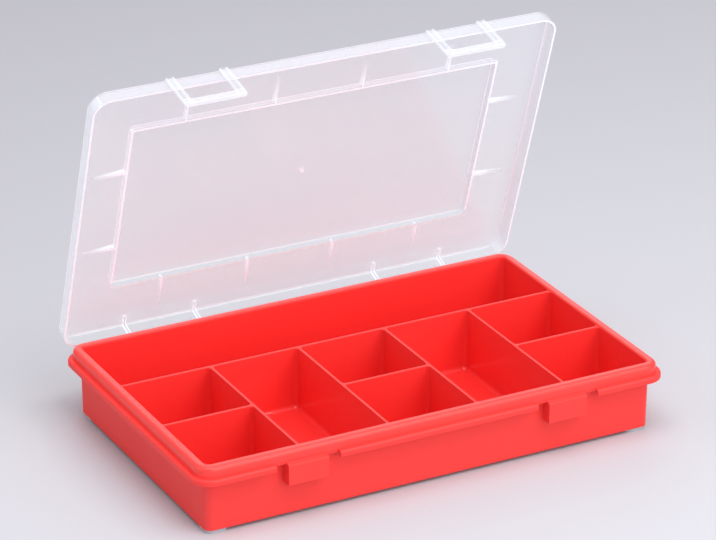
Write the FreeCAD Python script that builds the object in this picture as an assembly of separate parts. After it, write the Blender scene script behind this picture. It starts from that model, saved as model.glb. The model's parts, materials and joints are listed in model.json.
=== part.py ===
import FreeCAD, Part
import math
import os

# Compartment storage box: a red divided tray, a clear lid on snap hinges and two clear latch loops.
# Millimetres. X runs along the box, Y to the hinge side, Z up. The origin is on the standing plane,
# under the middle of the tray. Heights named "_height" are measured from the tray's underside.

# Tray cells
opening_length = 273.0
opening_width = 164.0
opening_corner_radius = 3.5
cell_columns = 5
cell_rows = 3
cell_draft = 0.8
divider_height = 38.5
divider_thickness = 1.5
root_radius = 2.5

# Tray shell
wall = 1.5
floor_thickness = 1.6
base_corner_radius = 5.0

# Stepped rim, with widths measured outwards from the opening
rim_step = 0.4
bead_width = 5.5
bead_inner_chamfer = 0.7
bead_outer_round = 2.4
ledge_height = 33.5
ledge_width = 3.0
lip_round = 1.4
lip_depth = 3.5
rim_wall = 1.5

# Lid
lid_side_gap = 0.3
lid_seat_gap = 0.3
lid_wall = 1.2
lid_depth = 9.2
lid_draft = 1.0
lid_edge_round = 2.0
panel_length = 228.6
panel_width = 115.0
panel_rise = 3.5
panel_corner_radius = 3.0
panel_edge_round = 1.0
gusset_run = 21.0
gusset_thickness = 0.9
gate_radius = 1.2
gate_height = 0.3

# Snap hinges
hinge_spacing = 160.0
hinge_width = 43.0
hinge_slit = 1.0
hinge_slit_reach = 6.5
hinge_axis_drop = 1.0
hinge_bar_radius = 1.6
hinge_bar_clearance = 0.1
hinge_ear_radius = 2.4
hinge_ear_width = 3.0
hook_wall = 1.3
hook_width = 11.0
hook_count = 2
hook_pitch = 24.0
hook_bead_gap = 0.8
hook_arm_rise = 4.7
hook_mouth_start = 150.0
hook_mouth_end = 260.0
hook_arm_end = 60.0

# Front catches and latch loops
latch_spacing = 160.0
latch_thickness = 1.6
latch_stand_off = 0.3
latch_strap_width = 4.8
latch_window_width = 27.4
latch_bar_height = 4.8
latch_corner_radius = 1.5
latch_window_radius = 0.8
latch_axis_drop = 1.8
latch_grip_depth = 0.8
latch_grip_round = 0.3
latch_film_height = 1.2
latch_film_gap = 0.05
latch_cut_gap = 0.6
catch_bottom_height = 20.0
catch_face_height = 12.0
catch_width = 24.0
catch_gap = 0.4
catch_wall = 1.5
catch_root = 3.0
catch_edge_round = 0.5

# Feet
foot_size = 13.0
foot_height = 2.2
foot_inset = 1.0
foot_corner_radius = 4.0

# Pose of the moving pieces
lid_rest_angle = 71.5
latch_rest_angle = 4.5

# Sizes that follow from the values above
half_length = opening_length / 2
half_width = opening_width / 2
column_pitch = opening_length / cell_columns
row_pitch = opening_width / cell_rows
draft_slope = math.tan(math.radians(cell_draft))
base_z = foot_height
floor_z = base_z + floor_thickness
divider_z = base_z + divider_height
bead_z = divider_z + rim_step + bead_inner_chamfer
ledge_z = base_z + ledge_height
lip_z = ledge_z - lip_depth
lip_out = bead_width + ledge_width
lid_out = bead_width + lid_side_gap + lid_wall
lid_rim_z = ledge_z + lid_seat_gap
lid_z = lid_rim_z + lid_depth
lid_taper = lid_depth * math.tan(math.radians(lid_draft))
panel_z = lid_z + panel_rise
hook_inner_radius = hinge_bar_radius + hinge_bar_clearance
hook_outer_radius = hook_inner_radius + hook_wall
hinge_out = bead_width + hook_bead_gap + hook_outer_radius
hinge_y = half_width + hinge_out
hinge_z = ledge_z - hinge_axis_drop
hinge_cut_width = hinge_width + 2 * hinge_slit
catch_bottom_z = base_z + catch_bottom_height
catch_face_z = catch_bottom_z + catch_face_height
latch_width = latch_window_width + 2 * latch_strap_width
latch_in = lid_out + latch_stand_off
latch_out = latch_in + latch_thickness
latch_axis_out = latch_in + latch_thickness / 2
latch_y = -(half_width + latch_axis_out)
latch_z = lid_z - latch_axis_drop
latch_bar_z = catch_bottom_z - catch_gap
latch_end_z = latch_bar_z - latch_bar_height
latch_cut_width = latch_width + 2 * latch_cut_gap
base_half_length = half_length + wall - divider_height * draft_slope
base_half_width = half_width + wall - divider_height * draft_slope
foot_x = base_half_length - foot_inset - foot_size / 2
foot_y = base_half_width - foot_inset - foot_size / 2
cut_margin = 1.0
same_place = 1e-4

ORIGIN = FreeCAD.Vector(0, 0, 0)
X_AXIS = FreeCAD.Vector(1, 0, 0)
Y_AXIS = FreeCAD.Vector(0, 1, 0)
Z_AXIS = FreeCAD.Vector(0, 0, 1)
HINGE_AXIS = FreeCAD.Vector(0, hinge_y, hinge_z)
LATCH_AXIS = FreeCAD.Vector(0, latch_y, latch_z)


def in_front(a, b):
    """Place a drawn point in the XZ plane."""
    return FreeCAD.Vector(a, 0, b)


def in_side(a, b):
    """Place a drawn point in the YZ plane."""
    return FreeCAD.Vector(0, a, b)


def outline(corners, place):
    """Face inside a closed outline of (a, b, radius) corners."""
    points = [place(a, b) for a, b, radius in corners]
    starts = []
    edges = []
    for index, corner in enumerate(points):
        to_last = (points[index - 1] - corner).normalize()
        to_next = (points[(index + 1) % len(points)] - corner).normalize()
        half_turn = to_last.getAngle(to_next) / 2
        radius = corners[index][2]
        reach = radius / math.tan(half_turn)
        first = corner + to_last * reach
        last = corner + to_next * reach
        starts.append((first, last))
        if radius > 0:
            to_centre = (to_last + to_next).normalize()
            middle = corner + to_centre * (radius / math.sin(half_turn) - radius)
            edges.append(Part.Arc(first, middle, last).toShape())
    for index, (first, last) in enumerate(starts):
        start = starts[index - 1][1]
        if (first - start).Length > same_place:
            edges.append(Part.LineSegment(start, first).toShape())
    return Part.Face(Part.Wire(Part.__sortEdges__(edges)))


def swept_round(face, half_x, half_y, radius):
    """Carry a profile, drawn outwards from X = 0, round a rounded rectangle."""
    pieces = []
    for quarter in range(4):
        reach, run = (half_x, half_y - radius) if quarter % 2 == 0 else (half_y, half_x - radius)
        side = face.copy()
        side.translate(FreeCAD.Vector(reach, -run, 0))
        side = side.extrude(FreeCAD.Vector(0, 2 * run, 0))
        corner = face.copy()
        corner.translate(FreeCAD.Vector(radius, 0, 0))
        corner = corner.revolve(ORIGIN, Z_AXIS, 90)
        corner.translate(FreeCAD.Vector(reach - radius, run, 0))
        for piece in (side, corner):
            piece.rotate(ORIGIN, Z_AXIS, 90 * quarter)
            pieces.append(piece)
    return pieces[0].multiFuse(pieces[1:]).removeSplitter()


def block_round(profile, half_x, half_y, radius, low, high):
    """Upright block on a rounded rectangle, with its edge profile given outwards from that outline."""
    edge = [(-radius, low, 0)] + profile + [(-radius, high, 0)]
    ring = swept_round(outline(edge, in_front), half_x, half_y, radius)
    core = box(0, 2 * (half_x - radius), radius - half_y, half_y - radius, low, high)
    return ring.fuse(core).removeSplitter()


def bar(face, x_middle, width):
    """Prism of a side profile, centred on x_middle."""
    face.translate(FreeCAD.Vector(x_middle - width / 2, 0, 0))
    return face.extrude(FreeCAD.Vector(width, 0, 0))


def rod(radius, x_middle, width, y, z):
    """Round bar along X."""
    return Part.makeCylinder(radius, width, FreeCAD.Vector(x_middle - width / 2, y, z), X_AXIS)


def box(x_middle, width, y_low, y_high, low, high):
    """Plain block, centred on x_middle."""
    return Part.makeBox(width, y_high - y_low, high - low, FreeCAD.Vector(x_middle - width / 2, y_low, low))


def pair(spacing):
    """X places of a left and a right feature."""
    return (-spacing / 2, spacing / 2)


def divider(start, end):
    """Drafted divider between two points, standing on root fillets."""
    half_top = divider_thickness / 2
    half_foot = half_top + (divider_z - floor_z) * draft_slope
    half_seat = half_foot + 2 * root_radius
    seat_z = floor_z - floor_thickness / 2
    profile = [(-half_seat, seat_z, 0), (-half_seat, floor_z, 0), (-half_foot, floor_z, root_radius),
               (-half_top, divider_z, 0), (half_top, divider_z, 0), (half_foot, floor_z, root_radius),
               (half_seat, floor_z, 0), (half_seat, seat_z, 0)]
    run = FreeCAD.Vector(end[0] - start[0], end[1] - start[1], 0)
    plate = outline(profile, in_side).extrude(X_AXIS * run.Length)
    plate.rotate(ORIGIN, Z_AXIS, math.degrees(math.atan2(run.y, run.x)))
    plate.translate(FreeCAD.Vector(start[0], start[1], 0))
    return plate


def dividers():
    """One divider along the rear cell, one between each two columns, and those of every other column."""
    seat = wall / 4
    rear_y = half_width - row_pitch
    lines = [-half_length - seat]
    lines += [-half_length + column_pitch * step for step in range(1, cell_columns)]
    lines += [half_length + seat]
    plates = [divider((lines[0], rear_y), (lines[-1], rear_y))]
    plates += [divider((x, -half_width - seat), (x, rear_y)) for x in lines[1:-1]]
    for column in range(0, cell_columns, 2):
        for row in range(1, cell_rows - 1):
            y = -half_width + row * row_pitch
            plates.append(divider((lines[column], y), (lines[column + 1], y)))
    return plates


def tray_shell():
    """Drafted tub with its dividers."""
    outer = [(-divider_height * draft_slope, base_z, 0), (0, divider_z, 0)]
    shell = block_round(outer, half_length + wall, half_width + wall, base_corner_radius, base_z, divider_z)
    top_z = divider_z + cut_margin
    inset = (divider_z - floor_z) * draft_slope
    inner = [(-inset, floor_z, root_radius), (cut_margin * draft_slope, top_z, 0)]
    hollow = block_round(inner, half_length, half_width, opening_corner_radius, floor_z, top_z)
    return shell.cut(hollow).multiFuse(dividers())


def tray_rim():
    """Hollow stepped rim: a bead round the opening, then a ledge and a lip for the lid."""
    lip_in = lip_out - rim_wall
    bead_in = bead_width - rim_wall
    under_ledge_z = ledge_z - rim_wall
    under_bead_z = bead_z - rim_wall
    profile = [(0, divider_z, 0), (0, bead_z - bead_inner_chamfer, 0), (bead_inner_chamfer, bead_z, 0),
               (bead_width, bead_z, bead_outer_round), (bead_width, ledge_z, 0),
               (lip_out, ledge_z, lip_round), (lip_out, lip_z, 0), (lip_in, lip_z, 0),
               (lip_in, under_ledge_z, 0), (bead_in, under_ledge_z, 0), (bead_in, under_bead_z, 0),
               (wall / 2, under_bead_z, 0), (wall / 2, divider_z, 0)]
    return swept_round(outline(profile, in_front), half_length, half_width, opening_corner_radius)


def rim_cut(x_middle, width, side):
    """Stretch of ledge and lip taken away, on the front (side -1) or the rear (side 1)."""
    near = side * (half_width + bead_width)
    far = side * (half_width + lip_out + cut_margin)
    return box(x_middle, width, min(near, far), max(near, far), lip_z - cut_margin, ledge_z + cut_margin)


def catch(x_middle):
    """Ramped catch block, hollow from below, under the rim."""
    top_z = ledge_z - catch_edge_round
    body = [(wall / 2, catch_bottom_z, 0), (lip_out, catch_bottom_z, catch_edge_round),
            (lip_out, catch_face_z, catch_edge_round), (bead_width, top_z, 0), (wall / 2, top_z, 0)]
    profile = outline([(-half_width - out, z, radius) for out, z, radius in body], in_side)
    hollow = box(x_middle, catch_width - 2 * catch_wall, -(half_width + lip_out - catch_wall),
                 -(half_width + catch_root), catch_bottom_z - cut_margin, catch_face_z - catch_wall)
    return bar(profile, x_middle, catch_width).cut(hollow)


def hinge_bar(x_middle):
    """Round bar across a gap in the rear rim, carried by an ear at each end."""
    length = hinge_cut_width + 2 * hinge_ear_width
    pieces = [rod(hinge_bar_radius, x_middle, length, hinge_y, hinge_z)]
    root_y = half_width + lip_out - rim_wall
    ear = [(root_y, lip_z, 0), (hinge_y, hinge_z - hinge_ear_radius, 0), (hinge_y, ledge_z, 0),
           (root_y, ledge_z, 0)]
    for side in (-1, 1):
        ear_x = x_middle + side * (hinge_cut_width + hinge_ear_width) / 2
        pieces.append(bar(outline(ear, in_side), ear_x, hinge_ear_width))
        pieces.append(rod(hinge_ear_radius, ear_x, hinge_ear_width, hinge_y, hinge_z))
    return pieces


def tray():
    """Red tray: tub, rim, catches and hinge bars in one moulding."""
    rim = tray_rim()
    rim = rim.cut([rim_cut(x, latch_cut_width, -1) for x in pair(latch_spacing)])
    rim = rim.cut([rim_cut(x, hinge_cut_width, 1) for x in pair(hinge_spacing)])
    pieces = [rim]
    pieces += [catch(x) for x in pair(latch_spacing)]
    for x in pair(hinge_spacing):
        pieces += hinge_bar(x)
    return tray_shell().multiFuse(pieces).removeSplitter()


def lid_shell():
    """Lid plate with its drafted wall and raised panel."""
    inner = lid_out - lid_wall
    under_z = lid_z - lid_wall
    profile = [(inner - lid_taper, under_z, 0), (inner, lid_rim_z, 0), (lid_out, lid_rim_z, 0),
               (lid_out - lid_taper, lid_z, lid_edge_round)]
    shell = block_round(profile, half_length, half_width, opening_corner_radius, under_z, lid_z)
    half_x = panel_length / 2
    half_y = panel_width / 2
    raised = block_round([(0, under_z, 0), (0, panel_z, panel_edge_round)], half_x, half_y,
                         panel_corner_radius, under_z, panel_z)
    low = under_z - cut_margin
    high = panel_z - lid_wall
    hollow = block_round([(0, low, 0), (0, high, 0)], half_x - lid_wall, half_y - lid_wall,
                         panel_corner_radius - lid_wall, low, high)
    gate = Part.makeCylinder(gate_radius, lid_wall + gate_height, FreeCAD.Vector(0, 0, panel_z - lid_wall))
    return shell.fuse(raised).cut(hollow).fuse(gate)


def gussets():
    """Thin triangles outside the raised panel, in line with the tray's dividers."""
    foot_z = lid_z - lid_wall / 2
    profile = [(-lid_wall / 2, foot_z, 0), (-lid_wall / 2, panel_z - panel_edge_round, 0),
               (gusset_run, lid_z, 0), (gusset_run, foot_z, 0)]
    column_lines = [-half_length + column_pitch * step for step in range(1, cell_columns)]
    row_lines = [-half_width + row_pitch * step for step in range(1, cell_rows)]
    pieces = []
    for quarter in range(4):
        reach, lines = (panel_length / 2, row_lines) if quarter % 2 == 0 else (panel_width / 2, column_lines)
        for line in lines:
            face = outline(profile, in_front)
            face.translate(FreeCAD.Vector(reach, line - gusset_thickness / 2, 0))
            gusset = face.extrude(FreeCAD.Vector(0, gusset_thickness, 0))
            gusset.rotate(ORIGIN, Z_AXIS, 90 * quarter)
            pieces.append(gusset)
    return pieces


def on_circle(radius, degrees):
    """Point of the hinge's side profile, round the hinge axis."""
    turn = math.radians(degrees)
    return (hinge_y + radius * math.cos(turn), hinge_z + radius * math.sin(turn), 0)


def hook(x_middle):
    """Open hook that snaps on the hinge bar, with an arm up to the lid's rear wall."""
    bore = rod(hook_inner_radius, x_middle, hook_width, hinge_y, hinge_z)
    mouth_reach = 2 * hook_outer_radius
    mouth_middle = (hook_mouth_start + hook_mouth_end) / 2
    mouth = [(hinge_y, hinge_z, 0), on_circle(mouth_reach, hook_mouth_start),
             on_circle(mouth_reach, mouth_middle), on_circle(mouth_reach, hook_mouth_end)]
    wall_y = half_width + lid_out
    arm_z = lid_rim_z + hook_arm_rise
    arm_middle = (hook_inner_radius + hook_outer_radius) / 2
    arm = [(wall_y - lid_wall, lid_rim_z, 0), (wall_y - lid_wall, arm_z, 0), (wall_y, arm_z, 0),
           on_circle(hook_outer_radius, hook_arm_end), on_circle(arm_middle, hook_arm_end),
           on_circle(arm_middle, hook_mouth_start)]
    ring = rod(hook_outer_radius, x_middle, hook_width, hinge_y, hinge_z)
    ring = ring.cut(bar(outline(mouth, in_side), x_middle, hook_width))
    return ring.fuse(bar(outline(arm, in_side), x_middle, hook_width)).cut(bore)


def hinge_slits(x_middle):
    """Two round-ended slits that free the tongue round a hinge."""
    end_y = half_width + lid_out - hinge_slit_reach
    pieces = []
    for side in (-1, 1):
        slit_x = x_middle + side * (hinge_width + hinge_slit) / 2
        pieces.append(box(slit_x, hinge_slit, end_y, half_width + lid_out + cut_margin,
                          lid_rim_z - cut_margin, lid_z + cut_margin))
        pieces.append(Part.makeCylinder(hinge_slit, lid_wall + 2 * cut_margin,
                                        FreeCAD.Vector(slit_x, end_y, lid_z - lid_wall - cut_margin)))
    return pieces


def latch_films(x_middle):
    """Film hinges between the lid's front edge and the two straps of a latch."""
    strap_offset = (latch_window_width + latch_strap_width) / 2
    low = latch_z - latch_film_height / 2
    high = latch_z + latch_film_height / 2
    near = -(half_width + lid_out - lid_wall / 2)
    far = -(half_width + latch_in - latch_film_gap)
    return [box(x_middle + side * strap_offset, latch_strap_width, far, near, low, high) for side in (-1, 1)]


def closed_lid():
    """Clear lid, drawn closed."""
    pieces = gussets()
    for x in pair(hinge_spacing):
        middle = (hook_count - 1) / 2
        pieces += [hook(x + (index - middle) * hook_pitch) for index in range(hook_count)]
    for x in pair(latch_spacing):
        pieces += latch_films(x)
    slits = [slit for x in pair(hinge_spacing) for slit in hinge_slits(x)]
    return lid_shell().cut(slits).multiFuse(pieces).removeSplitter()


def closed_latch(x_middle):
    """Clear latch loop, drawn closed with its bar under the catch."""
    outer = latch_width / 2
    inner = latch_window_width / 2
    loop = [(-outer, latch_z, 0), (-outer, latch_end_z, latch_corner_radius),
            (outer, latch_end_z, latch_corner_radius), (outer, latch_z, 0), (inner, latch_z, 0),
            (inner, latch_bar_z, latch_window_radius), (-inner, latch_bar_z, latch_window_radius),
            (-inner, latch_z, 0)]
    face = outline(loop, in_front)
    face.translate(FreeCAD.Vector(x_middle, -(half_width + latch_in), 0))
    pieces = [face.extrude(FreeCAD.Vector(0, -latch_thickness, 0))]
    strap_offset = (latch_window_width + latch_strap_width) / 2
    for side in (-1, 1):
        strap_x = x_middle + side * strap_offset
        pieces.append(rod(latch_thickness / 2, strap_x, latch_strap_width, latch_y, latch_z))
    face_y = -(half_width + latch_out)
    grip_z = latch_end_z + latch_bar_height / 2
    grip = [(latch_y, latch_end_z, 0), (face_y - latch_grip_depth, latch_end_z, latch_grip_round),
            (face_y, grip_z, 0), (latch_y, grip_z, 0)]
    pieces.append(bar(outline(grip, in_side), x_middle, latch_width - 2 * latch_corner_radius))
    return pieces[0].multiFuse(pieces[1:]).removeSplitter()


def foot(x_side, y_side):
    """Clear pad under one corner."""
    pad = block_round([(0, 0, 0), (0, foot_height, 0)], foot_size / 2, foot_size / 2, foot_corner_radius,
                      0, foot_height)
    pad.translate(FreeCAD.Vector(x_side * foot_x, y_side * foot_y, 0))
    return pad


def opened(shape):
    """Swing a closed lid piece to the pose it rests in."""
    shape.rotate(HINGE_AXIS, X_AXIS, -lid_rest_angle)
    return shape


def swung_out(latch):
    """Swing a closed latch clear of its catch."""
    latch.rotate(LATCH_AXIS, X_AXIS, -latch_rest_angle)
    return latch


nodes = {"tray": tray(), "lid": opened(closed_lid())}
for side_name, latch_x in zip(("left", "right"), pair(latch_spacing)):
    nodes["latch_" + side_name] = opened(swung_out(closed_latch(latch_x)))
for end_name, y_side in (("front", -1), ("rear", 1)):
    for side_name, x_side in (("left", -1), ("right", 1)):
        nodes["foot_" + end_name + "_" + side_name] = foot(x_side, y_side)

os.makedirs("parts", exist_ok=True)
for name, shape in nodes.items():
    solid = shape.Solids[0]
    solid.exportStep(os.path.join("parts", name + ".step"))
    print(name, "solids", len(shape.Solids), "valid", solid.isValid(), "mm3", round(solid.Volume))
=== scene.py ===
# %% [markdown]
# # A compartment storage box
#
# The object is a shallow box for small parts: a red tray with nine compartments, and a milky clear lid
# that stands open on snap hinges. Two clear loops on the lid's front edge snap under catches on the tray.
# Every piece is a plastic moulding, so this lesson is mostly about plastic: how light sits on it, how it
# lets light through, and which small marks a mould leaves on it.
#
# The shapes come from a CAD model. Each CAD piece is already in place, in metres, so the lesson starts by
# loading it.

# %% Load the moulded pieces
import json
import math
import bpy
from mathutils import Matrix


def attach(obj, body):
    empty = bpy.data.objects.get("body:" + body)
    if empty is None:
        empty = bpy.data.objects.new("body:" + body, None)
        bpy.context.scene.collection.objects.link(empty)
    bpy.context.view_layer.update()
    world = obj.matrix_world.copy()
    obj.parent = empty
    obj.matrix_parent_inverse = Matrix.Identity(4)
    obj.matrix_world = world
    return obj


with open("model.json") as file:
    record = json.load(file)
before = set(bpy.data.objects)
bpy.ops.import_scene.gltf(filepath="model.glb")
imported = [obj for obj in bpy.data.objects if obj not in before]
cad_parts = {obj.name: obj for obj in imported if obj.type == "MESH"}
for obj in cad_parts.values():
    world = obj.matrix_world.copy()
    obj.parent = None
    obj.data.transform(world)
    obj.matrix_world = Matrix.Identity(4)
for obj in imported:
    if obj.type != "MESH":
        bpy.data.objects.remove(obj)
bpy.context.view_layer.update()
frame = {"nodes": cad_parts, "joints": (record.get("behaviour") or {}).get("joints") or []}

from types import SimpleNamespace

import bpy
from mathutils import Vector

scene = bpy.context.scene
pieces = frame["nodes"]
print("pieces:", sorted(pieces))

# %% [markdown]
# ## The camera
#
# A product picture is usually taken from far away with a long lens, because that keeps the box's parallel
# edges nearly parallel. A camera can be placed by hand, but here its direction is known: it looks from the
# front left, 24 degrees above the table. So it is placed by two angles, a distance and a point to look at.

# %% Place the camera
camera_azimuth = math.radians(-27.6)
camera_height = math.radians(24.15)
camera_distance = 2.22684
looked_at = Vector((0.07081, 0.1419, 0.0222))

towards_camera = Vector((math.sin(camera_azimuth) * math.cos(camera_height),
                         -math.cos(camera_azimuth) * math.cos(camera_height),
                         math.sin(camera_height)))
lens = bpy.data.cameras.new("long_lens")
lens.lens = 186.22
lens.sensor_width = 36.0
camera = bpy.data.objects.new("camera", lens)
camera.location = looked_at + towards_camera * camera_distance
camera.rotation_euler = (-towards_camera).to_track_quat("-Z", "Y").to_euler()
scene.collection.objects.link(camera)
scene.camera = camera
print("camera at", [round(x, 3) for x in camera.location])

# %% [markdown]
# ## Small helpers for shader nodes
#
# A material is a graph of nodes. Building one in code takes three things again and again: making a node
# with some settings, joining two sockets, and making a node group with named sockets. A group is like a
# function: an effect that several plastics share is drawn once and then placed in each of them.

# %% Node helpers
def add_node(tree, kind, inputs=None, **settings):
    """Add a node, set its properties, then its unlinked inputs or their links."""
    node = tree.nodes.new(kind)
    for name, value in settings.items():
        setattr(node, name, value)
    for name, value in (inputs or {}).items():
        if isinstance(value, bpy.types.NodeSocket):
            tree.links.new(value, node.inputs[name])
        else:
            node.inputs[name].default_value = value
    return node


def ramp(tree, value, start, end, low=0.0, high=1.0):
    """Number that goes from low to high as the value goes from start to end."""
    return add_node(tree, "ShaderNodeMapRange", {"Value": value, "From Min": start, "From Max": end,
                                                 "To Min": low, "To Max": high}).outputs[0]


def new_group(name, inputs, outputs):
    """A shader node group with named sockets, and the two nodes that stand for its ends."""
    group = bpy.data.node_groups.new(name, "ShaderNodeTree")
    for label, kind, value in inputs:
        group.interface.new_socket(label, in_out="INPUT", socket_type=kind).default_value = value
    for label, kind in outputs:
        group.interface.new_socket(label, in_out="OUTPUT", socket_type=kind)
    return group, group.nodes.new("NodeGroupInput"), group.nodes.new("NodeGroupOutput")


def new_material(name):
    """An empty material with its shader, ready to be fed."""
    material = bpy.data.materials.new(name)
    material.use_nodes = True
    tree = material.node_tree
    return material, tree, tree.nodes["Principled BSDF"]


NUMBER = "NodeSocketFloat"
DIRECTION = "NodeSocketVector"

# %% [markdown]
# ## Marks of the mould
#
# A moulded plastic face is never quite flat or quite even. The steel of the mould leaves a fine grain, the
# plastic shrinks as it cools and leaves long shallow waves, and it flows away from the gate in faint
# streaks. Use adds hair scratches. All four are noise at very different sizes, so one group makes them,
# and each plastic takes its own sizes and amounts. The group reads the piece's own coordinates, which are
# in metres, so a grain of 0.4 mm is 0.4 mm on every piece and moves with it.

# %% Group: mould marks
mould_marks, marks_in, marks_out = new_group(
    "mould_marks",
    [("Grain Size", NUMBER, 0.0004), ("Grain Share", NUMBER, 0.1), ("Wave Size", NUMBER, 0.03)],
    [("Height", NUMBER), ("Flow", NUMBER), ("Scratch", NUMBER)])
place = add_node(mould_marks, "ShaderNodeTexCoord").outputs["Object"]


def repeats(size):
    """Noise scale for a feature size in metres."""
    return add_node(mould_marks, "ShaderNodeMath", {0: 1.0, 1: size}, operation="DIVIDE").outputs[0]


grain = add_node(mould_marks, "ShaderNodeTexNoise",
                 {"Vector": place, "Scale": repeats(marks_in.outputs["Grain Size"]), "Detail": 2.0})
wave = add_node(mould_marks, "ShaderNodeTexNoise",
                {"Vector": place, "Scale": repeats(marks_in.outputs["Wave Size"]), "Detail": 1.0})
height = add_node(mould_marks, "ShaderNodeMath",
                  {0: grain.outputs["Fac"], 1: marks_in.outputs["Grain Share"], 2: wave.outputs["Fac"]},
                  operation="MULTIPLY_ADD")
mould_marks.links.new(height.outputs[0], marks_out.inputs["Height"])

# %% Flow streaks and hair scratches
streak_repeats = (9.0, 42.0, 26.0)
streak_range = (0.3, 0.7)
hair_slant = (0.3, 0.2, 0.7)
hair_repeats = (30.0, 2600.0, 900.0)
hair_range = (0.66, 0.74)

streaks = add_node(mould_marks, "ShaderNodeMapping", {"Vector": place, "Scale": streak_repeats})
flow = add_node(mould_marks, "ShaderNodeTexNoise",
                {"Vector": streaks.outputs[0], "Scale": 1.0, "Detail": 3.0, "Distortion": 0.6})
mould_marks.links.new(ramp(mould_marks, flow.outputs["Fac"], *streak_range), marks_out.inputs["Flow"])

hairs = add_node(mould_marks, "ShaderNodeMapping",
                 {"Vector": place, "Rotation": hair_slant, "Scale": hair_repeats})
hair = add_node(mould_marks, "ShaderNodeTexNoise", {"Vector": hairs.outputs[0], "Scale": 1.0, "Detail": 1.0})
mould_marks.links.new(ramp(mould_marks, hair.outputs["Fac"], *hair_range), marks_out.inputs["Scratch"])
print("group:", mould_marks.name, len(mould_marks.nodes), "nodes")

# %% [markdown]
# ## Edges that catch the light
#
# No moulded edge is a knife edge. Every corner of the mould is broken by a few tenths of a millimetre, and
# that tiny round is what draws the thin bright line along each rim and divider. The Bevel node looks round
# the point that is being shaded and bends the normal as if the edge were rounded, without touching the
# mesh. Comparing the bent normal with the real one also gives a mask of where the edges are.

# %% Group: soft edge
soft_edge, edge_in, edge_out = new_group(
    "soft_edge",
    [("Radius", NUMBER, 0.0003), ("Gain", NUMBER, 6.0)],
    [("Normal", DIRECTION), ("Edge", NUMBER)])
rounded = add_node(soft_edge, "ShaderNodeBevel", {"Radius": edge_in.outputs["Radius"]}, samples=4)
flat_normal = add_node(soft_edge, "ShaderNodeNewGeometry").outputs["Normal"]
likeness = add_node(soft_edge, "ShaderNodeVectorMath", {0: rounded.outputs[0], 1: flat_normal},
                    operation="DOT_PRODUCT")
bend = add_node(soft_edge, "ShaderNodeMath", {0: 1.0, 1: likeness.outputs["Value"]}, operation="SUBTRACT")
edge = add_node(soft_edge, "ShaderNodeMath", {0: bend.outputs[0], 1: edge_in.outputs["Gain"]},
                operation="MULTIPLY", use_clamp=True)
soft_edge.links.new(rounded.outputs[0], edge_out.inputs["Normal"])
soft_edge.links.new(edge.outputs[0], edge_out.inputs["Edge"])
print("group:", soft_edge.name, len(soft_edge.nodes), "nodes")

# %% Helpers: groups and colours in a material
def place_group(tree, group, inputs):
    """Put a node group in a material with its own values."""
    return add_node(tree, "ShaderNodeGroup", inputs, node_tree=group)


def blend_colours(tree, share, first, second):
    """Colour that goes from the first to the second as the share goes from 0 to 1."""
    mix = add_node(tree, "ShaderNodeMix", data_type="RGBA")
    tree.links.new(share, mix.inputs["Factor"])
    for slot, colour in ((6, first), (7, second)):
        if isinstance(colour, bpy.types.NodeSocket):
            tree.links.new(colour, mix.inputs[slot])
        else:
            mix.inputs[slot].default_value = colour
    return mix.outputs[2]


def spread(tree, share, low, high):
    """Number that goes from low to high as the share goes from 0 to 1."""
    return ramp(tree, share, 0.0, 1.0, low, high)


def from_screen(red, green, blue):
    """Colour as a screen shows it, 0 to 255, in the linear numbers that shaders use."""
    parts = [value / 255 for value in (red, green, blue)]
    return [p / 12.92 if p <= 0.04045 else ((p + 0.055) / 1.055) ** 2.4 for p in parts] + [1.0]

# %% [markdown]
# ## The red tray
#
# The tray is polypropylene coloured right through. The steel that forms its inside and its rim is polished,
# so inside walls show soft mirror images of their neighbours; the steel round the outside is left matt. One
# material can hold both: two masks made from the piece's own coordinates say where the plastic is inside
# the opening and where it is rim. Inside, a clear coat lies over the base. The red is painted as lit and
# shaded copies of itself: paler outside, and deeper inside the cells as painted shade. The rim gets a
# smoother base with a satin gloss and a lighter red, a painted highlight. The colour hardly changes within
# a place, so the flow streaks move it between two close reds, and the broken edges are a little lighter,
# partly the whitening of a broken edge and partly a painted highlight.

# %% Helpers: masks from numbers
def chain_math(tree, kind, *values):
    """One Math node, or a chain of them for more than two values."""
    total = values[0]
    for value in values[1:]:
        total = add_node(tree, "ShaderNodeMath", {0: total, 1: value}, operation=kind).outputs[0]
    return total


def distance(tree, value, centre=0.0):
    """How far a coordinate is from a line."""
    gap = chain_math(tree, "SUBTRACT", value, centre)
    return add_node(tree, "ShaderNodeMath", {0: gap}, operation="ABSOLUTE").outputs[0]


def above(tree, value, limit):
    """1 above a limit, 0 below it."""
    return chain_math(tree, "GREATER_THAN", value, limit)


def below(tree, value, limit):
    """1 below a limit, 0 above it."""
    return chain_math(tree, "LESS_THAN", value, limit)

# %% Group: polished places
opening_half_length = 0.137
opening_half_width = 0.0825
polish_top = 0.0402
rim_bottom = 0.0362

polished_places, polished_in, polished_out = new_group(
    "polished_places",
    [("Half Length", NUMBER, opening_half_length), ("Half Width", NUMBER, opening_half_width),
     ("Cell Top", NUMBER, polish_top), ("Rim Bottom", NUMBER, rim_bottom)],
    [("Inside", NUMBER), ("Rim", NUMBER)])
tray_place = add_node(polished_places, "ShaderNodeTexCoord").outputs["Object"]
tray_spot = add_node(polished_places, "ShaderNodeSeparateXYZ", {0: tray_place}).outputs
within = chain_math(polished_places, "MULTIPLY",
                    *[below(polished_places, distance(polished_places, tray_spot[axis]),
                            polished_in.outputs[limit])
                      for axis, limit in (("X", "Half Length"), ("Y", "Half Width"))])
under_top = below(polished_places, tray_spot["Z"], polished_in.outputs["Cell Top"])
in_cells = chain_math(polished_places, "MULTIPLY", within, under_top)
high_up = above(polished_places, tray_spot["Z"], polished_in.outputs["Rim Bottom"])
high_within = chain_math(polished_places, "MULTIPLY", high_up, within)
on_rim = chain_math(polished_places, "SUBTRACT", high_up, high_within)
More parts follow.
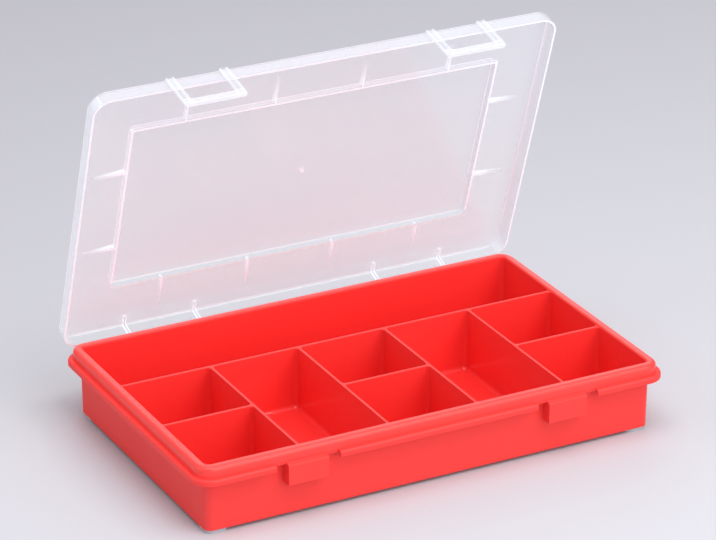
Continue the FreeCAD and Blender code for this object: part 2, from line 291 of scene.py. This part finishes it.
polished_places.links.new(in_cells, polished_out.inputs["Inside"])
polished_places.links.new(on_rim, polished_out.inputs["Rim"])
print("group:", polished_places.name, len(polished_places.nodes), "nodes")

# %% Material: red polypropylene
# Lit and shaded copies of one red: the paler outside red is painted light, the deeper inside red painted
# shade.
lit_outside_reds = from_screen(244, 57, 53), from_screen(242, 60, 56)
shaded_inside_reds = from_screen(240, 46, 43), from_screen(238, 49, 46)
# The rim's lighter red is a painted highlight.
rim_highlight_red = from_screen(246, 66, 61)
# The edge red is partly the whitening of broken edges, partly a painted highlight.
edge_whitening_and_highlight_red = from_screen(247, 68, 62)
matt_roughness = 0.48, 0.56
satin_roughness = 0.29, 0.34
scratch_roughness = 0.02
inside_coat = 0.7
mark_depth = 0.0003
mark_strength = 0.4


def red_polypropylene(name, edge_radius, rim_radius):
    """Coloured plastic: matt outside, satin on the rim and polished in the cells."""
    material, tree, shader = new_material(name)
    marks = place_group(tree, mould_marks, {"Grain Size": 0.0005, "Grain Share": 0.02, "Wave Size": 0.06})
    polish = place_group(tree, polished_places,
                         {"Half Length": opening_half_length, "Half Width": opening_half_width})
    flow, inside, rim = marks.outputs["Flow"], polish.outputs["Inside"], polish.outputs["Rim"]
    edges = place_group(tree, soft_edge,
                        {"Radius": spread(tree, rim, edge_radius, rim_radius), "Gain": 3.0})
    # Painted light and shade: paler red outside, deeper red in the cells, lighter red on the rim and along
    # the edges as painted highlights.
    red = blend_colours(tree, inside, blend_colours(tree, flow, *lit_outside_reds),
                        blend_colours(tree, flow, *shaded_inside_reds))
    red = blend_colours(tree, rim, red, rim_highlight_red)
    red = blend_colours(tree, edges.outputs["Edge"], red, edge_whitening_and_highlight_red)
    tree.links.new(red, shader.inputs["Base Color"])
    sheen = add_node(tree, "ShaderNodeMix", {"Factor": rim, 2: spread(tree, flow, *matt_roughness),
                                             3: spread(tree, flow, *satin_roughness)})
    scratched = add_node(tree, "ShaderNodeMath",
                         {0: marks.outputs["Scratch"], 1: scratch_roughness, 2: sheen.outputs[0]},
                         operation="MULTIPLY_ADD")
    tree.links.new(scratched.outputs[0], shader.inputs["Roughness"])
    tree.links.new(chain_math(tree, "MULTIPLY", inside, inside_coat), shader.inputs["Coat Weight"])
    bump = add_node(tree, "ShaderNodeBump",
                    {"Height": marks.outputs["Height"], "Normal": edges.outputs["Normal"],
                     "Distance": mark_depth, "Strength": mark_strength})
    tree.links.new(bump.outputs[0], shader.inputs["Normal"])
    shader.inputs["IOR"].default_value = 1.47
    shader.inputs["Specular IOR Level"].default_value = 0.4
    shader.inputs["Coat Roughness"].default_value = 0.17
    return material


red_plastic = red_polypropylene("red_polypropylene", edge_radius=0.0004, rim_radius=0.0012)
red_hollow = red_polypropylene("red_polypropylene_hollows", edge_radius=0.0, rim_radius=0.0)
print("materials:", red_plastic.name, red_hollow.name)

# %% [markdown]
# ## Rounded corners in the cells
#
# The steel core that forms a cell has its upright edges ground round, so that the moulding comes off it and
# no dirt stays in the corners. A round hollow can be cut with a bevel, but the CAD pieces stay as they are,
# so each corner gets a strip set into it: an arc of 2.5 mm drawn up the corner, with an eighth of a ball at
# its foot where it runs into the rounds along the floor. The walls lean by 0.8 degrees, so the corner moves
# outwards as it rises. The strip's back edge lies inside the walls, so each strip is a closed form of its
# own, flat at the top and at the foot. The four corners of the tray itself are already round.

# %% Where the cell corners are
cell_top = 0.0407
cell_floor = 0.0038
lean = math.tan(math.radians(0.8))
column_width = 0.0546
row_width = 0.164 / 3
column_lines = [column_width * (step - 2.5) for step in range(6)]
row_lines = [row_width * (step - 1.5) for step in range(4)]
half_divider = 0.00075

# A cell is named by its left and right column lines and its front and rear row lines.
cells = [(0, 5, 2, 3)]
for column in range(5):
    halved = column % 2 == 0
    rows = [(0, 1), (1, 2)] if halved else [(0, 2)]
    cells += [(column, column + 1, front, rear) for front, rear in rows]


def wall_face(lines, index, inwards):
    """Place of a wall's face at the cell top: outer walls end on their line, dividers stand astride it."""
    outer = index in (0, len(lines) - 1)
    return lines[index] + (0.0 if outer else inwards * half_divider), outer


cell_corners = []
for left, right, front, rear in cells:
    for column, x_inwards in ((left, 1), (right, -1)):
        for row, y_inwards in ((front, 1), (rear, -1)):
            x, x_outer = wall_face(column_lines, column, x_inwards)
            y, y_outer = wall_face(row_lines, row, y_inwards)
            if not (x_outer and y_outer):
                cell_corners.append((x, y, x_inwards, y_inwards))
print("cells:", len(cells), "corners to round:", len(cell_corners))

# %% Draw the corner strips
hollow_radius = 0.0025
back_depth = 0.0003
top_gap = 0.00005
arc_steps = 8
ball_steps = 6

points, normals, faces, curved = [], [], [], []
levels = [(cell_floor + hollow_radius * (1 - math.cos(turn)), turn)
          for turn in (math.pi / 2 * step / ball_steps for step in range(1, ball_steps + 1))]
levels.append((cell_top - top_gap, math.pi / 2))
ring = arc_steps + 2
for x, y, x_inwards, y_inwards in cell_corners:
    first = len(points)
    for z, turn in levels:
        shift = (cell_top - z) * lean
        for step in range(arc_steps + 1):
            angle = math.pi / 2 * step / arc_steps
            inner = Vector((math.cos(angle) * x_inwards * math.sin(turn),
                            math.sin(angle) * y_inwards * math.sin(turn), math.cos(turn)))
            points.append((x + x_inwards * (shift + hollow_radius) - inner.x * hollow_radius,
                           y + y_inwards * (shift + hollow_radius) - inner.y * hollow_radius, z))
            normals.append(inner)
        points.append((x + x_inwards * (shift - back_depth), y + y_inwards * (shift - back_depth), z))
        normals.append(Vector((0.0, 0.0, 1.0)))
    rings = [[first + level * ring + step for step in range(ring)] for level in range(len(levels))]
    strip = [[low[step], low[(step + 1) % ring], high[(step + 1) % ring], high[step]]
             for low, high in zip(rings, rings[1:]) for step in range(ring)]
    curved += [step < arc_steps for _ in rings[1:] for step in range(ring)] + [False, False]
    strip += [rings[0][::-1], rings[-1]]
    faces += strip if x_inwards * y_inwards < 0 else [face[::-1] for face in strip]

hollow_mesh = bpy.data.meshes.new("cell_corner_rounds")
hollow_mesh.from_pydata(points, [], faces)
hollow_mesh.polygons.foreach_set("use_smooth", [True] * len(faces))
hollow_mesh.normals_split_custom_set([normals[corner] if smooth else face.normal.copy()
                                      for face, smooth in zip(hollow_mesh.polygons, curved)
                                      for corner in face.vertices])
hollow_mesh.materials.append(red_hollow)
cell_corner_rounds = bpy.data.objects.new("cell_corner_rounds", hollow_mesh)
scene.collection.objects.link(cell_corner_rounds)
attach(cell_corner_rounds, "tray")
print("corner strips:", len(faces), "faces")

# %% [markdown]
# ## The milky lid and its latch loops
#
# Clear polypropylene isn't glass. It is full of tiny crystals that scatter light, so a sheet of it is a
# thin white haze over what lies behind, and it gets whiter where there is more plastic to look through:
# along ribs, steps, rims and cut edges. A white plastic with a low alpha gives the haze. Alpha also thins
# out the gloss, so the gloss is set high and a clear coat is added: the open lid then mirrors the red tray
# faintly, as the real one does. The plastic also has a painted glow, faint and bluish grey on its thin
# sheets and whiter on its thick places, which stands in for light that it carries through and along. To
# raise the haze and the painted glow in the right places, the material needs to know where on the lid it
# is. The lid stands open, so its coordinates are first turned back about the hinge to the flat, closed lid,
# where every rib and step is a straight line with a known place.

# %% Helpers: where on a closed piece
def turned_back(tree, place, pivot, degrees):
    """Coordinates turned about an axis along X through the pivot."""
    return add_node(tree, "ShaderNodeVectorRotate",
                    {"Vector": place, "Center": pivot, "Angle": math.radians(degrees)},
                    rotation_type="X_AXIS").outputs[0]


joints = {joint["name"]: joint for joint in frame["joints"]}
hinge_pivot = Vector(joints["lid_hinge"]["pos_m"])
lid_angle = 71.5


def closed_spot(tree, place):
    """X, Y and Z of a place on the open lid once the lid is closed."""
    closed = turned_back(tree, place, hinge_pivot, lid_angle)
    return add_node(tree, "ShaderNodeSeparateXYZ", {0: closed}).outputs


def near(tree, value, line, reach):
    """1 within reach of a line, 0 beyond it."""
    return add_node(tree, "ShaderNodeMath", {0: value, 1: line, 2: reach}, operation="COMPARE").outputs[0]


def near_any(tree, value, lines, reach):
    """1 within reach of any of the lines, 0 elsewhere."""
    return chain_math(tree, "MAXIMUM", *[near(tree, value, line, reach) for line in lines])


print("hinge at", [round(1000 * x, 1) for x in hinge_pivot], "mm")

# %% [markdown]
# The lid has five kinds of thick places. The raised panel has a step all round. Thin ribs lean against
# that step and taper outwards. The wall's free rim and the edge where it meets the top are seen end on.
# The slits beside the hinges have cut edges, and the gate where the plastic came in left a small dot.
# The walls at the two ends count a little too. Those along the free side and the hinge side look up into
# the light when the lid stands open, so they are clearer than the rest, most of all on the hinge side.
# Each kind gives a mask from 0 to 1, and the strongest of them counts. The mask raises the haze and turns
# the painted glow whiter; the step and the top's edge fade towards the hinge side.

# %% A spot on the closed lid
def lid_spot(tree):
    """Closed coordinates in metres, distances from the middle, and how far the face looks each way."""
    x, y, z = closed_spot(tree, add_node(tree, "ShaderNodeTexCoord").outputs["Object"])
    normal = add_node(tree, "ShaderNodeTexCoord").outputs["Normal"]
    closed_normal = turned_back(tree, normal, (0.0, 0.0, 0.0), lid_angle)
    looks = add_node(tree, "ShaderNodeSeparateXYZ", {0: closed_normal}).outputs
    end_facing, side_facing, flat_facing = [distance(tree, look) for look in looks]
    return SimpleNamespace(x=x, y=y, z=z, along=distance(tree, x), across=distance(tree, y),
                           end_facing=end_facing, side_facing=side_facing, flat_facing=flat_facing)


def outside_of(tree, spot, half_length, half_width):
    """How far a spot lies outside a rectangle round the lid's middle, below 0 inside it."""
    return chain_math(tree, "MAXIMUM", chain_math(tree, "SUBTRACT", spot.along, half_length),
                      chain_math(tree, "SUBTRACT", spot.across, half_width))

# %% The panel's step, the free rim and the ribs
panel_half_length = 0.1143
panel_half_width = 0.0575
step_line, step_reach = -0.0006, 0.0007
step_fade = {"start": 0.052, "end": 0.055, "low": 1.0, "high": 0.4}
free_rim_top = 0.0366
flat_enough = 0.6
column_rib_lines = 0.0273, 0.0819
row_rib_line = 0.02733
rib_reach = 0.0006
rib_tip, rib_root = 0.021, 0.004


def panel_lines(tree, spot):
    """Mask of the panel's step, the wall's free rim and the ribs that lean against the step."""
    panel_gap = outside_of(tree, spot, panel_half_length, panel_half_width)
    step = chain_math(tree, "MULTIPLY", near(tree, panel_gap, step_line, step_reach),
                      ramp(tree, spot.y, **step_fade))
    free_rim = below(tree, spot.z, free_rim_top)
    flat_lines = chain_math(tree, "MULTIPLY", chain_math(tree, "MAXIMUM", step, free_rim),
                            above(tree, spot.flat_facing, flat_enough))
    column_ribs = chain_math(tree, "MULTIPLY", near_any(tree, spot.along, column_rib_lines, rib_reach),
                             above(tree, spot.across, panel_half_width))
    row_ribs = chain_math(tree, "MULTIPLY", near(tree, spot.across, row_rib_line, rib_reach),
                          above(tree, spot.along, panel_half_length))
    ribs = chain_math(tree, "MULTIPLY", chain_math(tree, "MAXIMUM", column_ribs, row_ribs),
                      ramp(tree, panel_gap, rib_tip, rib_root))
    return chain_math(tree, "MAXIMUM", flat_lines, ribs)

# %% The top's edge, the slits and the gate
top_half_length = 0.1435
top_half_width = 0.0890
edge_width = 0.0016
edge_bottom = 0.0440
edge_fade = {"start": 0.084, "end": 0.086, "low": 1.0, "high": 0.35}
slit_lines = 0.058, 0.102
slit_reach = 0.0012
slit_start = 0.0812
gate_radius = 0.0013


def cut_edges(tree, spot):
    """Mask of the edge round the lid's top, the slits beside the hinges and the gate's dot."""
    border_gap = outside_of(tree, spot, top_half_length, top_half_width)
    top_edge = chain_math(tree, "MULTIPLY", above(tree, border_gap, -edge_width),
                          above(tree, spot.z, edge_bottom), ramp(tree, spot.y, **edge_fade))
    slits = chain_math(tree, "MULTIPLY", near_any(tree, spot.along, slit_lines, slit_reach),
                       above(tree, spot.y, slit_start))
    flat_place = add_node(tree, "ShaderNodeCombineXYZ", {0: spot.x, 1: spot.y}).outputs[0]
    reach = add_node(tree, "ShaderNodeVectorMath", {0: flat_place}, operation="LENGTH").outputs["Value"]
    return chain_math(tree, "MAXIMUM", top_edge, slits, below(tree, reach, gate_radius))

# %% The lid's walls, and its masks together
wall_enough = 0.5
wall_start = 0.05
free_side_share, hinge_side_share = 0.3, 1.0
end_wall_share = 0.3


def lid_thickness(tree):
    """Masks of the lid's thick places and of its clear walls."""
    spot = lid_spot(tree)
    clear = chain_math(tree, "MULTIPLY", above(tree, spot.side_facing, wall_enough),
                       above(tree, spot.across, wall_start),
                       spread(tree, above(tree, spot.y, 0.0), free_side_share, hinge_side_share))
    end_walls = chain_math(tree, "MULTIPLY", above(tree, spot.end_facing, wall_enough), end_wall_share)
    thick = chain_math(tree, "MAXIMUM", panel_lines(tree, spot), cut_edges(tree, spot), end_walls)
    return thick, clear

# %% [markdown]
# A latch loop is a small frame, and it whitens along its outlines, with more haze and a whiter painted glow:
# at the outer and inner edges of its two sides, and at both edges of its lower bar. The loops swing on one
# line along the lid's edge, so the same turn brings either of them back to its closed place, and one mask
# and one material serve both.

# %% Outlines of the latch loops
latch_pivot = Vector(joints["latch_left_swing"]["pos_m"])
latch_angle = 4.5
latch_middle = 0.080
side_lines = ((0.0185, 0.0007), (0.0137, 0.0006))
bar_lines = ((0.0218, 0.0006), (0.0170, 0.0006))


def latch_thickness(tree):
    """Mask of a latch loop's outlines. The loops have no clear walls of their own."""
    place = add_node(tree, "ShaderNodeTexCoord").outputs["Object"]
    x, _, height = closed_spot(tree, turned_back(tree, place, latch_pivot, latch_angle))
    across = distance(tree, distance(tree, x), latch_middle)
    outlines = [near(tree, across, *line) for line in side_lines]
    outlines += [near(tree, height, *line) for line in bar_lines]
    return chain_math(tree, "MAXIMUM", *outlines), None


print("latch loops swing", [round(1000 * x, 1) for x in latch_pivot - hinge_pivot], "mm from the hinge")

# %% Materials: milky polypropylene
milky_whites = from_screen(245, 250, 255), from_screen(241, 247, 255)
milky_roughness = 0.10, 0.16
haze_range = 0.92, 1.08
grazing_blend = 0.2
clear_share = 0.35
# Painted glow: greyer on thin sheets, whiter on thick places, in place of the light the plastic carries.
painted_glow_colours = from_screen(140, 162, 168), from_screen(235, 240, 250)


def milky_plastic(name, haze, grazing_haze, thickness=None, thick_haze=0.0, painted_glow_strength=0.0):
    """White scattering plastic: haze is the alpha of one face seen straight on."""
    material, tree, shader = new_material(name)
    marks = place_group(tree, mould_marks, {"Grain Size": 0.0006, "Grain Share": 0.03, "Wave Size": 0.06})
    flow = marks.outputs["Flow"]
    tree.links.new(blend_colours(tree, flow, *milky_whites), shader.inputs["Base Color"])
    tree.links.new(spread(tree, flow, *milky_roughness), shader.inputs["Roughness"])
    bump = add_node(tree, "ShaderNodeBump", {"Height": marks.outputs["Height"], "Distance": mark_depth,
                                             "Strength": mark_strength})
    tree.links.new(bump.outputs[0], shader.inputs["Normal"])
    cloud = spread(tree, flow, *[haze * part for part in haze_range])
    grazing = add_node(tree, "ShaderNodeLayerWeight", {"Blend": grazing_blend}).outputs["Facing"]
    alpha = add_node(tree, "ShaderNodeMath", {0: grazing, 1: grazing_haze, 2: cloud},
                     operation="MULTIPLY_ADD").outputs[0]
    if thickness:
        thick, clear = thickness(tree)
        if clear:
            alpha = chain_math(tree, "MULTIPLY", alpha, spread(tree, clear, 1.0, clear_share))
        alpha = add_node(tree, "ShaderNodeMath", {0: thick, 1: thick_haze, 2: alpha},
                         operation="MULTIPLY_ADD", use_clamp=True).outputs[0]
        # Painted glow along the thick places: the plastic glows though it is no lamp.
        tree.links.new(blend_colours(tree, thick, *painted_glow_colours), shader.inputs["Emission Color"])
        shader.inputs["Emission Strength"].default_value = painted_glow_strength
    tree.links.new(alpha, shader.inputs["Alpha"])
    shader.inputs["IOR"].default_value = 1.49
    shader.inputs["Specular IOR Level"].default_value = 1.0
    shader.inputs["Coat Weight"].default_value = 0.6
    shader.inputs["Coat Roughness"].default_value = 0.1
    return material


milky_lid = milky_plastic("milky_lid", haze=0.21, grazing_haze=0.12, thickness=lid_thickness,
                          thick_haze=0.6, painted_glow_strength=0.18)
milky_latch = milky_plastic("milky_latch", haze=0.1, grazing_haze=0.05, thickness=latch_thickness,
                            thick_haze=0.36, painted_glow_strength=0.12)
clear_pad = milky_plastic("clear_pad", haze=0.4, grazing_haze=0.2)
print("materials:", milky_lid.name, milky_latch.name, clear_pad.name)

# %% [markdown]
# ## Dress the pieces
#
# The CAD pieces keep their shapes. Only the material in each piece's slot changes. Whatever isn't named
# here is a foot, and wears the clear pad's plastic.

# %% Put the plastics on
finishes = {"tray": red_plastic, "lid": milky_lid, "latch_left": milky_latch, "latch_right": milky_latch}
for name, piece in pieces.items():
    finish = finishes.get(name, clear_pad)
    piece.material_slots[0].material = finish
    print(name, "wears", finish.name)

# %% [markdown]
# ## Floor and light
#
# The box stands on a wide pale grey sweep, a little bluish, lighter towards the front: its grey is painted
# darker behind the box, as painted shade. Soft light is the whole character of such a picture: a large key
# panel at the front right, a low one under it that fills the shadows below the rim, a small high one that
# draws the highlights along the beads, one overhead that lights the cells, a weak one behind that the rims
# mirror and the lid scatters, and a weak one at the left. An even pale surround fills what they miss. The
# lamps are set so that a white card would come out about white, which means that a colour looks about as
# it is written. The floor is also painted darker towards the key panel, as painted shade, so that it
# doesn't burn out there.

# %% The floor
floor_mesh = bpy.data.meshes.new("floor")
floor_radius = 9.0
floor_steps = 64
rim = [(floor_radius * math.cos(2 * math.pi * i / floor_steps),
        floor_radius * math.sin(2 * math.pi * i / floor_steps), 0.0) for i in range(floor_steps)]
floor_mesh.from_pydata(rim, [], [list(range(floor_steps))])
floor = bpy.data.objects.new("floor", floor_mesh)
scene.collection.objects.link(floor)
print("floor radius", floor_radius, "m")

# %% The floor's grey
# Painted shade on the floor: its grey darkens behind the box and towards the key panel.
floor_grey = from_screen(206, 206, 212)
front_painted_shade_grey = from_screen(150, 150, 156)
far_painted_shade_grey = from_screen(178, 177, 184)
fade_start, front_end, far_end = -0.5, -1.6, 0.8

sweep, tree, shader = new_material("grey_sweep")
ground = add_node(tree, "ShaderNodeTexCoord").outputs["Object"]
depth = add_node(tree, "ShaderNodeSeparateXYZ", {0: ground}).outputs["Y"]
near_grey = blend_colours(tree, ramp(tree, depth, fade_start, front_end), floor_grey, front_painted_shade_grey)
grey = blend_colours(tree, ramp(tree, depth, fade_start, far_end), near_grey, far_painted_shade_grey)
tree.links.new(grey, shader.inputs["Base Color"])
shader.inputs["Roughness"].default_value = 0.85
shader.inputs["Specular IOR Level"].default_value = 0.2
floor_mesh.materials.append(sweep)
print("floor wears", sweep.name)

# %% The lamps and the surround
lamp_target = Vector((0.0, 0.0, 0.05))


def soft_panel(name, place, size, power):
    """A square lamp that looks at the box and doesn't show itself."""
    lamp = bpy.data.lights.new(name, "AREA")
    lamp.size = size
    lamp.energy = power
    panel = bpy.data.objects.new(name, lamp)
    panel.location = place
    panel.visible_camera = False
    aim = lamp_target - panel.location
    panel.rotation_euler = aim.to_track_quat("-Z", "Y").to_euler()
    scene.collection.objects.link(panel)
    print(name, "at", place, power, "watts")


soft_panel("front_panel", place=(0.6, -1.95, 1.6), size=2.2, power=29.0)
soft_panel("low_panel", place=(0.4, -2.35, 0.6), size=1.2, power=13.0)
soft_panel("high_panel", place=(0.9, -0.88, 1.75), size=0.8, power=7.0)
soft_panel("top_panel", place=(-0.25, -0.35, 2.0), size=1.6, power=24.0)
soft_panel("rear_panel", place=(0.85, 2.2, 1.15), size=1.8, power=14.0)
soft_panel("left_panel", place=(-2.0, 0.5, 1.0), size=1.6, power=9.5)

surround = bpy.data.worlds.new("surround")
surround.use_nodes = True
scene.world = surround
sky = surround.node_tree.nodes["Background"]
sky.inputs["Color"].default_value = from_screen(238, 238, 242)
sky.inputs["Strength"].default_value = 0.46
scene.view_settings.view_transform = "Standard"
